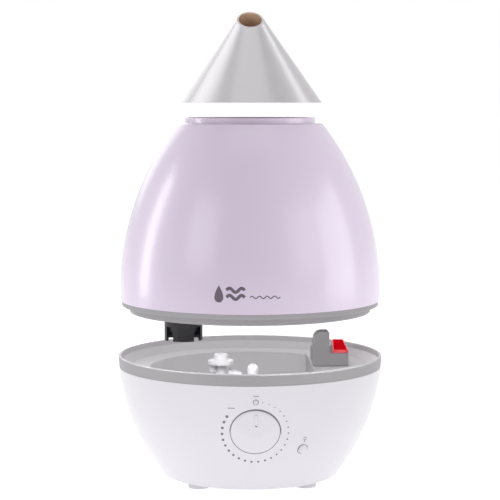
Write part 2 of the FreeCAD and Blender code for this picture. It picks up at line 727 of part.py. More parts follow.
# ---------------------------------------------------------------- the tank


def raised(item):
    """Lifts a tank piece to where it hangs when the humidifier is open."""
    item.setExpression("Placement.Base.z", "dims.tank_lift")
    return item


def tank_shell():
    """The lilac dome with its flat deck and the collar that the nozzle sits round."""
    wall, straight = S["tank_wall"], S["tank_straight"]
    radius, deck, collar = S["tank_radius"], S["deck_radius"], S["collar_radius"]
    inner = collar - 2
    return raised(turned("tank_shell", [
        (radius - wall, TANK), (radius - 0.4, TANK), (radius, TANK + 0.8),
        (radius, TANK + straight, S["tank_curve"]), (deck, DECK - 0.6, 0.6), (deck - 0.6, DECK),
        (collar, DECK), (collar, DECK + S["collar_height"] - 0.6, 0.6),
        (collar - 0.6, DECK + S["collar_height"]), (inner, DECK + S["collar_height"]),
        (inner, DECK), (S["chimney_bore"] + 2.3, DECK),
        (S["chimney_bore"] + 2.3, DECK - wall), (deck - 2.6, DECK - wall, wall - S["tank_curve"]),
        (radius - wall, TANK + straight)]))


def tank_base():
    """The grey underside: stepped flange, floor, mist funnel, tower recess and cap neck."""
    plate, flange, floor_top = S["plate_radius"], S["flange_radius"], PLATE + 5.7
    disc = turned("base_disc", [
        (0, PLATE + 3.2), (plate - 2.2, PLATE + 3.2), (plate - 2.2, PLATE), (plate - 0.5, PLATE),
        (plate, PLATE + 0.5), (plate, floor_top), (flange - 0.4, floor_top),
        (flange, floor_top + 0.4), (flange, TANK - SEAM), (flange - 1.8, TANK - SEAM),
        (flange - 1.8, TANK + 7), (flange - 4, TANK + 7), (flange - 4, floor_top + 2.4),
        (plate - 3, floor_top), (0, floor_top)])
    funnel, chimney, wall = S["funnel_bore"], S["chimney_bore"], 2
    dome = turned("funnel_wall", [(0, PLATE + 3.2), (funnel + wall, PLATE + 3.2),
                                  (funnel + wall, 114), (chimney + wall, 138),
                                  (chimney + wall, 142), (0, 142)])
    hollow = turned("funnel_hollow", [(0, PLATE - 1), (funnel, PLATE - 1), (funnel, 113),
                                      (chimney - 0.5, 137), (chimney - 0.5, 143), (0, 143)])
    left, right = S["tower_left"] - 4, S["tower_right"] + 3.5
    front, back, top = -S["tower_front"] - 3.5, S["tower_back"] + 9, S["tower_top"] + 3.5
    recess = box("recess_wall", (left - wall, front - wall, PLATE + 3.2),
                 (right + wall, back + wall, top + wall))
    recess_hollow = box("recess_hollow", (left, front, PLATE - 1), (right, back, top))
    tunnel = box("tunnel_wall", (30, -8, PLATE + 3.2), (left, 24, 112))
    tunnel_hollow = box("tunnel_hollow", (30, -6, PLATE - 1), (left + 1, 22, 110))
    neck = cylinder("neck_wall", S["neck_radius"], 17.7, CAP_X, 0, 84)
    neck_bore = cylinder("neck_hollow", S["neck_bore"], 30, CAP_X, 0, 80)
    solid = fused("tank_base_solid", [disc, dome, recess, tunnel, neck])
    return raised(cut("tank_base", solid, [hollow, recess_hollow, tunnel_hollow, neck_bore]))


def tank_seal():
    """The rubber ring between the dome and its base."""
    return raised(ring("tank_seal", S["tank_radius"] - S["tank_wall"] - 0.1,
                       S["flange_radius"] - 1.7, TANK, TANK + 1.8))


def chimney_tube():
    """The tube that carries mist through the water, from the funnel to the deck."""
    bore = S["chimney_bore"]
    return raised(turned("chimney_tube", [
        (bore, 142.2), (bore + 2, 142.2), (bore + 2, DECK + 1.4), (bore, DECK + 1.4)]))


# ---------------------------------------------------------------- cap and valve


def at_cap(item, z=0):
    item.setExpression("Placement.Base.x", "-dims.cap_offset")
    item.setExpression("Placement.Base.z", f"dims.tank_lift + {z}")
    return item


def cap_gasket():
    """The flat gasket between the neck and the cap."""
    return at_cap(turned("cap_gasket", [(11.2, 82.35), (13.4, 82.35), (13.4, 83.7),
                                        (11.2, 83.7)]))


def round_cap(name, length, width, height, radius, low, first):
    """Four boxes spaced evenly round the cap's axis."""
    pieces = []
    for i, (x, y, angle) in enumerate(spread(4, radius, first)):
        piece = doc.addObject("Part::Box", f"{name}_{i}")
        piece.Length, piece.Width, piece.Height = length, width, height
        turn = FreeCAD.Rotation(FreeCAD.Vector(0, 0, 1), angle)
        middle = FreeCAD.Placement(FreeCAD.Vector(-length / 2, -width / 2, 0),
                                   FreeCAD.Rotation())
        piece.Placement = FreeCAD.Placement(FreeCAD.Vector(x, y, low), turn) * middle
        pieces.append(piece)
    return pieces


def tank_cap():
    """The black screw cap: a skirt with four windows and flats, a web and the valve's guide."""
    edge, low, high = S["cap_radius"], S["cap_bottom"], S["cap_top"]
    web, skirt = 82, S["neck_radius"] + 0.4
    skirt_turn = turned("cap_skirt", [
        (skirt + 0.6, low), (edge - 0.4, low), (edge, low + 0.4), (edge, high - 0.4),
        (edge - 0.4, high), (skirt, high), (skirt, web), (0, web), (0, web - 2.5),
        (skirt - 2.6, web - 2.5), (skirt - 2.6, web - 6), (skirt - 1.2, web - 6),
        (skirt - 1.2, web - 2.5), (skirt + 0.6, web - 2.5)])
    guide = cylinder("cap_guide", S["guide_radius"], 10.6, 0, 0, low)
    ribs = round_cap("cap_rib", 7.6, 1.4, 7.2, 11.8, 73, 0)
    solid = fused("cap_solid", [skirt_turn, guide] + ribs)
    windows = round_cap("cap_window", 4.2, 7.6, 13.4, 16.1, 70.2, 45)
    flats = round_cap("cap_flat", 4, 14, 30, edge.value + 1.3, 68, 0)
    guide_bore = cylinder("cap_guide_bore", S["guide_bore"], 12, 0, 0, 67.5)
    rod_bore = cylinder("cap_rod_bore", 2.05, 12, 0, 0, 74)
    passages = [cylinder(f"cap_passage_{i}", 1.1, 6, x, y, 78)
                for i, (x, y, _) in enumerate(spread(6, 3.9))]
    return at_cap(cut("tank_cap", solid, windows + flats + [guide_bore, rod_bore] + passages))


def valve_plunger():
    """The valve: a head above the web, a rod through it and a foot that the post pushes."""
    return at_cap(turned("valve_plunger", [
        (0, 70.5), (4.6, 70.5), (4.6, 71.9), (2, 71.9), (2, 82.9), (7, 82.9), (7, 84.2),
        (0, 84.9)]))


def valve_seal():
    """The rubber ring under the valve's head."""
    return at_cap(turned("valve_seal", [(5.3, 82.3), (7, 82.3), (7, 82.85), (5.3, 82.85)]))


def valve_spring():
    """The coil spring round the valve's rod, between the web and the foot."""
    item = doc.addObject("Part::Feature", "valve_spring")
    item.Label = "valve_spring"
    low, high, turns, mean, wire = 72.5, 79.0, 4, 3.5, 0.45
    helix = Part.makeHelix((high - low) / turns, high - low, mean)
    section = Part.Wire(Part.makeCircle(wire, FreeCAD.Vector(mean, 0, 0), FreeCAD.Vector(0, 1, 0)))
    item.Shape = Part.Wire(helix).makePipeShell([section], True, True)
    return at_cap(item, low)


# ---------------------------------------------------------------- the nozzle


def lifted(item):
    """Lifts a nozzle piece above the lifted tank."""
    item.setExpression("Placement.Base.z", "dims.tank_lift + dims.cone_lift")
    return item


def splash_ring():
    """The baffle under the nozzle that catches drops and lets the mist through its throat."""
    low = DECK + S["collar_height"] + 0.4
    return lifted(turned("splash_ring", [
        (20, DECK + 2), (22, DECK + 2), (22, low), (53.4, low), (52.2, low + 1.8), (22, low + 1.8),
        (22, low + 6), (20, low + 6)]))


def cone_shell():
    """The nozzle: a straight cone, cut off obliquely so that its outlet faces the front."""
    radius, slope, wall = S["cone_radius"], S["cone_slope"], S["cone_wall"]
    apex = radius / slope
    inner = radius - wall / math.cos(math.atan(slope.value))
    shell = turned("cone_turn", [
        (inner, CONE), (radius - 0.4, CONE), (radius, CONE + 0.5), (0, CONE + apex),
        (0, CONE + inner / slope)])
    low, high = S["outlet_low"].value, S["outlet_high"].value
    front = slope.value * (apex.value - low)
    back = slope.value * (apex.value - high)
    tilt = math.degrees(math.atan2(high - low, front + back))
    knife = doc.addObject("Part::Box", "outlet_knife")
    knife.Length, knife.Width, knife.Height = 120, 120, 60
    spot = FreeCAD.Vector(0, -front, CONE.value + low)
    middle = FreeCAD.Placement(FreeCAD.Vector(-60, -40, 0), FreeCAD.Rotation())
    lean = FreeCAD.Rotation(FreeCAD.Vector(1, 0, 0), tilt)
    knife.Placement = FreeCAD.Placement(spot, lean) * middle
    return lifted(cut("cone_shell", shell, [knife]))


# ---------------------------------------------------------------- build, check, write


SUB_PARTS = [
    base_shell, basin, duct_tower, light_lens, bottom_plate, feet, bottom_screws, transducer_disc,
    transducer_seal, transducer_housing, driver_board, heat_sink, transformer, fan_housing,
    fan_screws, fan_rotor, float_stem, float_retainer, level_float, float_magnet, reed_switch,
    sensor_arm, light_post, valve_post, potentiometer, indicator_lens, cable_gland,
    button_switch, dial_knob, dial_shaft, light_button, tank_shell, tank_base, tank_seal,
    chimney_tube, cap_gasket, tank_cap, valve_plunger, valve_seal, valve_spring, splash_ring,
    cone_shell,
]


def check_document(nodes):
    """Stops before anything is written if an object failed or a shape isn't a valid solid."""
    for item in doc.Objects:
        if "Invalid" in item.State or "Error" in item.State:
            raise ValueError(f"{item.Label} is {item.State}")
    for name, item in nodes.items():
        shape = item.Shape
        if shape.isNull() or not shape.isValid() or not shape.Solids:
            raise ValueError(f"{name} has no valid solid")


def main():
    nodes = {}
    for make in SUB_PARTS:
        item = make()
        nodes[item.Label] = item
    doc.recompute()
    check_document(nodes)
    os.makedirs("parts", exist_ok=True)
    for name, item in nodes.items():
        item.Shape.exportStep(f"parts/{name}.step")
        bounds = item.Shape.optimalBoundingBox()
        print(f"{name:20s} solids {len(item.Shape.Solids)} volume {item.Shape.Volume / 1000:8.2f}"
              f" x {bounds.XMin:7.1f} {bounds.XMax:7.1f} y {bounds.YMin:7.1f} {bounds.YMax:7.1f}"
              f" z {bounds.ZMin:7.1f} {bounds.ZMax:7.1f}")


main()
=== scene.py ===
# %% [markdown]
# # A cool mist humidifier, opened for filling
#
# This file is a lesson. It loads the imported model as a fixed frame, then makes the looks round it:
# a pearl nozzle, a lilac tank, a grey basin and a white bowl with a dial. Each step says what the
# real piece is, how it could be made, and why it is made this way.

# %% Load the frame
import json
import math

import bpy
import numpy as np
from mathutils import Matrix, Vector


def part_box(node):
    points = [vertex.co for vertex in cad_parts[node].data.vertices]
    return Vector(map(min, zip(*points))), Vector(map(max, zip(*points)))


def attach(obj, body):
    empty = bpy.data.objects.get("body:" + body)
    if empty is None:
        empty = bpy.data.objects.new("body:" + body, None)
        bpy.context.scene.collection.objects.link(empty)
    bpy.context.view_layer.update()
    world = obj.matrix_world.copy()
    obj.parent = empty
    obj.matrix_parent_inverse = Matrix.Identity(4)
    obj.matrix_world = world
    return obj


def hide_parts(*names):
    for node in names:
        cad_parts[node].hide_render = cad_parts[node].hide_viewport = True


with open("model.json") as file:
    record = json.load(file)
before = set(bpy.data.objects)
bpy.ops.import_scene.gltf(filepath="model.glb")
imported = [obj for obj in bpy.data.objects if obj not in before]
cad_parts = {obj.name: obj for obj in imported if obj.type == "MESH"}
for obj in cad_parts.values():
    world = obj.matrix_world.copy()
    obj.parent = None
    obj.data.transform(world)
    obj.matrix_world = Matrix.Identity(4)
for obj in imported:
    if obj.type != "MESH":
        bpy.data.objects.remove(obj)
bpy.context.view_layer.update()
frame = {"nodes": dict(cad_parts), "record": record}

nodes = frame["nodes"]
scene = bpy.context.scene
mm = 0.001

# %% [markdown]
# ## Camera
#
# A product picture is taken from a little above with a long lens, so that upright sides stay
# nearly parallel. The camera stands 1.4 m from the humidifier's axis, just above the tank's
# collar, and looks slightly down.

# %% Camera
camera_reach, camera_height, camera_turn = 1.40, 0.320, math.radians(-2.4)
look_height, frame_width, sensor_width = 0.195, 0.4255, 36
camera_data = bpy.data.cameras.new("camera")
camera_data.sensor_width = sensor_width
camera_data.lens = sensor_width * camera_reach / frame_width
camera = bpy.data.objects.new("camera", camera_data)
scene.collection.objects.link(camera)
camera.location = (math.sin(camera_turn) * camera_reach, -math.cos(camera_turn) * camera_reach,
                   camera_height)
aim = Vector((0, 0, look_height)) - camera.location
camera.rotation_euler = aim.to_track_quat("-Z", "Y").to_euler()
scene.camera = camera
print("camera lens", round(camera_data.lens, 1), "mm")

# %% [markdown]
# ## Surroundings, floor and lamps
#
# A glossy object shows its surroundings, so they matter as much as its own colour. The world is
# pale and soft, brighter behind the object than where the photographer stands, which leaves the
# middle of each curved wall calmer than its edges. What the camera sees directly is plain white.
# Four wide panels then light it from the sides, from above and from behind.

# %% Surroundings
front_light, back_light = 0.34, 0.86


def studio_world():
    """A world whose light grows from front to back with the direction's Y, seen as plain white."""
    world = bpy.data.worlds.new("studio")
    world.use_nodes = True
    tree = world.node_tree
    tree.nodes.clear()
    new, link = tree.nodes.new, tree.links.new
    place, split = new("ShaderNodeTexCoord"), new("ShaderNodeSeparateXYZ")
    link(place.outputs["Generated"], split.inputs[0])
    level = new("ShaderNodeMapRange")
    for name, value in (("From Min", -1), ("From Max", 1), ("To Min", front_light),
                        ("To Max", back_light)):
        level.inputs[name].default_value = value
    link(split.outputs["Y"], level.inputs["Value"])
    lit, seen = new("ShaderNodeBackground"), new("ShaderNodeBackground")
    link(level.outputs[0], lit.inputs["Color"])
    seen.inputs["Color"].default_value = (1, 1, 1, 1)
    path, mix, output = (new("ShaderNodeLightPath"), new("ShaderNodeMixShader"),
                         new("ShaderNodeOutputWorld"))
    link(path.outputs["Is Camera Ray"], mix.inputs["Fac"])
    link(lit.outputs[0], mix.inputs[1])
    link(seen.outputs[0], mix.inputs[2])
    link(mix.outputs[0], output.inputs["Surface"])
    return world


scene.world = studio_world()
scene.view_settings.view_transform = "Standard"
print("world made, from", front_light, "in front to", back_light, "behind")


# %% Lamps
def area_lamp(name, place, target, size, power):
    """A rectangular lamp at place, turned towards target."""
    data = bpy.data.lights.new(name, "AREA")
    data.shape = "RECTANGLE"
    data.size, data.size_y = size
    data.energy = power
    lamp = bpy.data.objects.new(name, data)
    scene.collection.objects.link(lamp)
    lamp.location = place
    lamp.rotation_euler = (Vector(target) - Vector(place)).to_track_quat("-Z", "Y").to_euler()
    lamp.visible_camera = False
    return lamp


heart = (0, 0, 0.2)
area_lamp("right_panel", (1.25, -1.15, 0.75), heart, (0.8, 0.9), 2.9)
area_lamp("left_panel", (-1.25, -1.15, 0.85), heart, (0.8, 0.9), 4.2)
area_lamp("top_panel", (0.0, -0.2, 1.8), heart, (1.2, 1.2), 3.6)
area_lamp("back_panel", (-0.5, 1.7, 0.9), heart, (1.4, 1.0), 4.0)
print("lamps made")

# %% [markdown]
# The glossy tank and nozzle get two cards of their own, a little behind their sides, because a
# round wall mirrors a card at half the card's angle. The wide right card gives the tank a broad
# pale streak, the narrow left one a thin streak. The nozzle's side leans back, so its two cards
# hang higher. Light linking keeps all four off the matt white bowl.

# %% Cards for the tank and the nozzle
tank_parts = bpy.data.collections.new("tank_parts")
nozzle_parts = bpy.data.collections.new("nozzle_parts")
for name, place, size, power, parts in (
        ("tank_right_card", (1.58, -0.22, 0.5), (1.0, 1.1), 8.5, tank_parts),
        ("tank_left_card", (-1.55, 0.39, 0.5), (0.34, 1.2), 7.0, tank_parts),
        ("nozzle_left_card", (-1.02, 0.48, 1.48), (0.75, 0.8), 4.2, nozzle_parts),
        ("nozzle_right_card", (1.02, 0.52, 1.48), (0.28, 0.8), 2.0, nozzle_parts)):
    area_lamp(name, place, heart, size, power).light_linking.receiver_collection = parts
print("cards made")

# %% [markdown]
# The raised tank keeps most of that light out of the basin. A studio would slip a small card
# lamp into the gap, so one sits just inside the front rim and shines at the far wall. A weaker
# one in the same place lights the grey tower, and a third comes from above, for the ledges.
# Light linking lets them reach only the basin, what stands in it and the tower, and lets nothing
# but those pieces cast a shadow.

# %% Basin lamps
basin_parts = bpy.data.collections.new("basin_parts")
basin_shades = bpy.data.collections.new("basin_shades")
tower_parts = bpy.data.collections.new("tower_parts")
lamp_place, lamp_target, lamp_size = (-0.01, -0.10, 0.172), (0, 0.05, 0.07), (0.17, 0.04)
for lamp, parts in (
        (area_lamp("basin_lamp", lamp_place, lamp_target, lamp_size, 0.30), basin_parts),
        (area_lamp("tower_lamp", lamp_place, lamp_target, lamp_size, 0.13), tower_parts),
        (area_lamp("ledge_lamp", (0, -0.05, 0.9), (0, 0, 0.09), (0.5, 0.5), 6.4), basin_parts)):
    lamp.visible_glossy = False
    lamp.light_linking.receiver_collection = parts
    lamp.light_linking.blocker_collection = basin_shades
print("basin lamps made")

# %% [markdown]
# ## Mesh helpers
#
# Every new piece is a surface on a grid: rows run along a profile and columns run round it. The
# points are worked out as whole arrays, and one function turns any such grid into a mesh, closed
# along its rows or capped by a point at each end.

# %% Grids to meshes
def grid_faces(rows, columns, wrap_rows):
    """Index quads between neighbouring rows; columns always wrap round."""
    last = rows if wrap_rows else rows - 1
    row = np.arange(last)[:, None]
    column = np.arange(columns)[None, :]
    below, above = row * columns, (row + 1) % rows * columns
    after = (column + 1) % columns
    quads = np.stack([below + column, below + after, above + after, above + column], axis=-1)
    return quads.reshape(-1, 4).tolist()


def put_mesh(name, points, faces, sharp=35):
    """A smooth-shaded object at the origin, with an edge kept sharp where it turns by more."""
    mesh = bpy.data.meshes.new(name)
    mesh.from_pydata(np.asarray(points).reshape(-1, 3).tolist(), [], faces)
    mesh.shade_smooth()
    mesh.set_sharp_from_angle(angle=math.radians(sharp))
    mesh.update()
    piece = bpy.data.objects.new(name, mesh)
    scene.collection.objects.link(piece)
    return piece


def skin(name, points, wrap_rows=False, first_pole=None, last_pole=None, sharp=35):
    """A mesh from a (rows, columns, 3) grid, with a fan of triangles to each pole given."""
    rows, columns = points.shape[:2]
    faces = grid_faces(rows, columns, wrap_rows)
    extra, around = [], np.arange(columns)
    after = (around + 1) % columns
    if first_pole is not None:
        pole = np.full(columns, rows * columns)
        faces += np.stack([after, around, pole], axis=-1).tolist()
        extra.append(first_pole)
    if last_pole is not None:
        pole = np.full(columns, rows * columns + len(extra))
        top = (rows - 1) * columns
        faces += np.stack([top + around, top + after, pole], axis=-1).tolist()
        extra.append(last_pole)
    flat = np.vstack([points.reshape(-1, 3)] + [np.reshape(p, (1, 3)) for p in extra])
    piece = put_mesh(name, flat, faces, sharp)
    weighted = piece.modifiers.new("weighted_normals", "WEIGHTED_NORMAL")
    weighted.keep_sharp = True
    return piece


# %% Outlines and turned pieces
def rounded(corners, steps=6):
    """An outline whose corners (x, y, radius) are replaced by arcs of that radius.

    An arc leaves its sides at radius / tan(half the corner's angle), and its points come from
    turning about the centre that lies on the corner's bisector.
    """
    corners = np.array([c if len(c) == 3 else (*c, 0) for c in corners], float)
    spots, radii = corners[:, :2], corners[:, 2]
    before, after = np.roll(spots, 1, axis=0) - spots, np.roll(spots, -1, axis=0) - spots
    path = []
    for spot, radius, back, ahead in zip(spots, radii, before, after):
        if radius == 0:
            path.append(spot[None])
            continue
        back, ahead = back / np.linalg.norm(back), ahead / np.linalg.norm(ahead)
        half = math.acos(np.clip(back @ ahead, -1, 1)) / 2
        centre = spot + (back + ahead) / np.linalg.norm(back + ahead) * radius / math.sin(half)
        start, end = spot + back * radius / math.tan(half), spot + ahead * radius / math.tan(half)
        first = math.atan2(*(start - centre)[::-1])
        sweep = math.atan2(*(end - centre)[::-1]) - first
        sweep = (sweep + math.pi) % (2 * math.pi) - math.pi
        turn = first + sweep * np.linspace(0, 1, steps + 1)
        path.append(centre + radius * np.stack([np.cos(turn), np.sin(turn)], axis=-1))
    return np.vstack(path)


def arc_centre(start, end, radius):
    """The centre, left of the chord, of an arc: the chord's middle plus the arc's reach."""
    start, end = np.array(start), np.array(end)
    chord = end - start
    length = np.linalg.norm(chord)
    normal = np.array([-chord[1], chord[0]]) / length
    return (start + end) / 2 + normal * math.sqrt(radius ** 2 - length ** 2 / 4)


def arc_between(start, end, radius, count):
    """Points strictly between start and end on an arc of this radius, bulging to the right."""
    start, end = np.array(start), np.array(end)
    centre = arc_centre(start, end, radius)
    first = math.atan2(*(start - centre)[::-1])
    last = math.atan2(*(end - centre)[::-1])
    turn = np.linspace(first, last, count + 2)[1:-1]
    return centre + radius * np.stack([np.cos(turn), np.sin(turn)], axis=-1)


def turned(name, outline, columns=240, sharp=35):
    """A solid of revolution: point (r, z) of the outline goes to (r cos a, r sin a, z)."""
    outline = np.asarray(outline, float)
    open_ends = outline[0, 0] < 1e-9 and outline[-1, 0] < 1e-9
    ring = outline[1:-1] if open_ends else outline
    angle = np.linspace(0, 2 * math.pi, columns, endpoint=False)
    points = np.stack([ring[:, :1] * np.cos(angle), ring[:, :1] * np.sin(angle),
                       np.repeat(ring[:, 1:], columns, axis=1)], axis=-1)
    if open_ends:
        return skin(name, points, False, (0, 0, outline[0, 1]), (0, 0, outline[-1, 1]), sharp)
    return skin(name, points, True, sharp=sharp)


def placed(piece, matrix):
    """Writes a placement into the mesh, so that the object itself stays at the origin."""
    piece.data.transform(matrix)
    return piece


def stands_for(piece, body, slot, *cad_nodes):
    """Attaches a piece to the body it rides on and hides the CAD nodes it replaces; its material
    slot is not used.
    """
    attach(piece, body)
    if cad_nodes:
        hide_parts(*cad_nodes)
    return piece


print("mesh helpers ready")

# %% [markdown]
# ## Finishes
#
# Moulded plastic is never one flat colour. Its tint drifts a little over a few centimetres, its
# gloss varies as hands and tools have touched it, and its skin has a faint orange peel. One
# function lays these three on a Principled shader from noise on Object coordinates, and each
# finish of the humidifier is a call of it with its own values.

# %% Moulded plastic
def noise(tree, place, scale, detail=3.0, roughness=0.5):
    """A noise texture on the object's own coordinates."""
    texture = tree.nodes.new("ShaderNodeTexNoise")
    texture.inputs["Scale"].default_value = scale
    texture.inputs["Detail"].default_value = detail
    texture.inputs["Roughness"].default_value = roughness
    tree.links.new(place.outputs["Object"], texture.inputs["Vector"])
    return texture


def moulded(name, color, roughness, drift=0.03, drift_scale=25, peel=0.02, peel_scale=900,
            gloss_spread=0.08, **constants):
    """A moulded plastic: tint drift, gloss variation and orange peel, plus shader constants."""
    material = bpy.data.materials.new(name)
    material.use_nodes = True
    tree = material.node_tree
    shader = tree.nodes["Principled BSDF"]
    place = tree.nodes.new("ShaderNodeTexCoord")
    ramp = tree.nodes.new("ShaderNodeValToRGB")
    dark = [c * (1 - drift) for c in color]
    light = [min(c * (1 + drift), 1) for c in color]
    ramp.color_ramp.elements[0].position, ramp.color_ramp.elements[1].position = 0.3, 0.7
    ramp.color_ramp.elements[0].color = (*dark, 1)
    ramp.color_ramp.elements[1].color = (*light, 1)
    tree.links.new(noise(tree, place, drift_scale).outputs["Fac"], ramp.inputs["Fac"])
    tree.links.new(ramp.outputs["Color"], shader.inputs["Base Color"])
    gloss = tree.nodes.new("ShaderNodeMapRange")
    gloss.inputs["From Min"].default_value, gloss.inputs["From Max"].default_value = 0.3, 0.7
    gloss.inputs["To Min"].default_value = roughness * (1 - gloss_spread)
    gloss.inputs["To Max"].default_value = roughness * (1 + gloss_spread)
    tree.links.new(noise(tree, place, drift_scale * 3).outputs["Fac"], gloss.inputs["Value"])
    tree.links.new(gloss.outputs[0], shader.inputs["Roughness"])
    bump = tree.nodes.new("ShaderNodeBump")
    bump.inputs["Strength"].default_value = peel
    bump.inputs["Distance"].default_value = 0.2 * mm
    tree.links.new(noise(tree, place, peel_scale).outputs["Fac"], bump.inputs["Height"])
    tree.links.new(bump.outputs["Normal"], shader.inputs["Normal"])
    for socket, value in constants.items():
        shader.inputs[socket.replace("_", " ")].default_value = value
    return material


shell_white = (0.765, 0.75, 0.79)
finishes = {
    "white_shell": moulded("white_shell", shell_white, 0.32, 0.006, peel=0.03,
                           gloss_spread=0.04, Coat_Weight=0.25, Coat_Roughness=0.14),
    "lilac_tank": moulded("lilac_tank", (0.645, 0.555, 0.69), 0.30, 0.008, 14, peel=0.03,
                          gloss_spread=0.04, Coat_Weight=0.5, Coat_Roughness=0.18),
    "pearl_cone": moulded("pearl_cone", (0.565, 0.55, 0.568), 0.30, 0.006, peel=0.03,
                          gloss_spread=0.04, Metallic=0.25, Coat_Weight=0.5, Coat_Roughness=0.2),
    "grey_plastic": moulded("grey_plastic", (0.362, 0.350, 0.365), 0.45, 0.02, peel=0.10,
                            peel_scale=1400),
    "red_lens": moulded("red_lens", (0.50, 0.002, 0.008), 0.7, 0.08, 120, peel=0.05,
                        Specular_IOR_Level=0.0),
    "black_plastic": moulded("black_plastic", (0.022, 0.019, 0.024), 0.34, 0.20, 60, peel=0.10),
    "white_parts": moulded("white_parts", (0.70, 0.69, 0.715), 0.34, 0.02, 60, peel=0.06),
    "knob_white": moulded("knob_white", shell_white, 0.34, 0.006, 60, peel=0.03,
                          gloss_spread=0.04, Coat_Weight=0.2, Coat_Roughness=0.15),
    "light_guide": moulded("light_guide", (0.80, 0.79, 0.83), 0.25, 0.02, 80, peel=0.04,
                           Coat_Weight=0.3, Coat_Roughness=0.1),
    "float_foam": moulded("float_foam", (0.75, 0.75, 0.76), 0.75, 0.05, 300, peel=0.5,
                          peel_scale=2200),
    "foot_rubber": moulded("foot_rubber", (0.70, 0.69, 0.72), 0.62, 0.05, 90, peel=0.3),
    "seal_rubber": moulded("seal_rubber", (0.02, 0.02, 0.022), 0.6, 0.2, 90, peel=0.3),
    "indicator_clear": moulded("indicator_clear", (0.70, 0.69, 0.74), 0.12, 0.03, 200,
                               Coat_Weight=0.5, Coat_Roughness=0.03),
    "board_green": moulded("board_green", (0.03, 0.20, 0.08), 0.35, 0.25, 200, peel=0.2),
    "transformer_iron": moulded("transformer_iron", (0.10, 0.10, 0.11), 0.5, 0.3, 150, peel=0.4,
                                Metallic=0.6),
    "magnet_iron": moulded("magnet_iron", (0.05, 0.05, 0.05), 0.45, 0.3, 300, Metallic=0.5),
    "reed_glass": moulded("reed_glass", (0.55, 0.70, 0.62), 0.08, 0.1, 300, Coat_Weight=0.4),
    "screw_steel": moulded("screw_steel", (0.55, 0.55, 0.57), 0.3, 0.1, 400, Metallic=1.0),
    "disc_steel": moulded("disc_steel", (0.62, 0.62, 0.64), 0.22, 0.1, 300, Metallic=1.0),
    "spring_steel": moulded("spring_steel", (0.60, 0.60, 0.62), 0.2, 0.08, 500, Metallic=1.0),
    "bare_aluminium": moulded("bare_aluminium", (0.66, 0.67, 0.69), 0.34, 0.08, 250, Metallic=1.0),
}
record_slots = {item["node"]: item["material_slot"] for item in frame["record"]["subparts"]}
for name, node in nodes.items():
    node.data.materials.clear()
    node.data.materials.append(finishes[record_slots[name]])
print("finishes made:", len(finishes))

# %% [markdown]
# ## Floor
#
# The floor is a plain pale sheet, wide enough for every view. A little light of its own keeps it
# as pale as the surroundings, and its own soft contact shadow still shows under the feet.

# %% Floor
floor_half = 30.0
floor = put_mesh("floor", [(-floor_half, -floor_half, 0), (floor_half, -floor_half, 0),
                           (floor_half, floor_half, 0), (-floor_half, floor_half, 0)],
                 [(0, 1, 2, 3)])
floor_paint = moulded("floor_paint", (0.86, 0.86, 0.87), 0.9, 0.01, 2, peel=0.0,
                      Emission_Color=(1, 1, 1, 1), Emission_Strength=0.50)
floor.data.materials.append(floor_paint)
print("floor made")

# %% [markdown]
# ## The tank's dome
#
# The dome is one moulding: a tall arc that leans in to a flat deck, and a low collar on it. It
# could be lofted or subdivided from a box, but it is round, so an outline turned about the axis
# gives it exactly. The outline is the CAD model's, with softer corners than a mould's sharp ones.

# %% Dome
tank_low, tank_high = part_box("tank_shell")
tank_foot, tank_top = tank_low.z, tank_high.z
tank_radius, tank_wall, collar_height = tank_high.x, 2.4 * mm, 5.1 * mm
deck_height = tank_top - collar_height
deck_radius, collar_radius, collar_wall = 61.4 * mm, 55.1 * mm, 2 * mm
chimney_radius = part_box("chimney_tube")[1].x
side_foot, side_curve = tank_foot + 8 * mm, 232.74 * mm


def tank_radius_at(height):
    """The dome's outer radius at a height: straight at its foot, then the arc of its side."""
    centre = arc_centre((tank_radius, side_foot), (deck_radius, deck_height), side_curve)
    rise = np.maximum(np.asarray(height) - side_foot, 0)
    return centre[0] + np.sqrt(side_curve ** 2 - (rise + side_foot - centre[1]) ** 2)


def tank_dome():
    """The dome, its deck and its collar, from one turned outline."""
    side = arc_between((tank_radius, side_foot), (deck_radius, deck_height), side_curve, 70)
    inner = arc_between((tank_radius - tank_wall, side_foot),
                        (deck_radius - tank_wall, deck_height - tank_wall),
                        side_curve - tank_wall, 30)[::-1]
    hole, under = chimney_radius + 0.3 * mm, deck_height - tank_wall
    inside = collar_radius - collar_wall
    foot = rounded([(tank_radius - tank_wall, side_foot), (tank_radius - tank_wall, tank_foot),
                    (tank_radius, tank_foot, 0.7 * mm), (tank_radius, side_foot)])
    top = rounded([(side[-1][0], side[-1][1]), (deck_radius, deck_height, 1.6 * mm),
                   (collar_radius, deck_height, 0.9 * mm), (collar_radius, tank_top, 0.7 * mm),
                   (inside, tank_top, 0.5 * mm), (inside, deck_height, 0.5 * mm),
                   (hole, deck_height), (hole, under), (deck_radius - tank_wall, under)])
    return turned("tank_dome", np.vstack([foot, side[:-1], top[:-1], inner]), 360)


tank = stands_for(tank_dome(), "tank", "lilac_tank", "tank_shell")
tank.data.materials.append(finishes["lilac_tank"])
print("tank dome:", len(tank.data.polygons), "faces")

# %% [markdown]
# ## The nozzle
#
# The nozzle is a thin straight cone, cut off by a plane that leans forward, so the mist leaves
# towards the front. Each line of the cone meets the plane at a height with a closed formula, so
# the lip needs no cutting: the outer line, a rounded lip and the inner line are one grid. The
# inner faces get a second material, a warm tan.

# %% Nozzle
nozzle_low, nozzle_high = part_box("cone_shell")
nozzle_foot, nozzle_radius, nozzle_slope = nozzle_low.z, nozzle_high.x, 0.7
nozzle_wall = 1.3 * mm
cut_front, cut_back = 62.0 * mm, 76.7 * mm


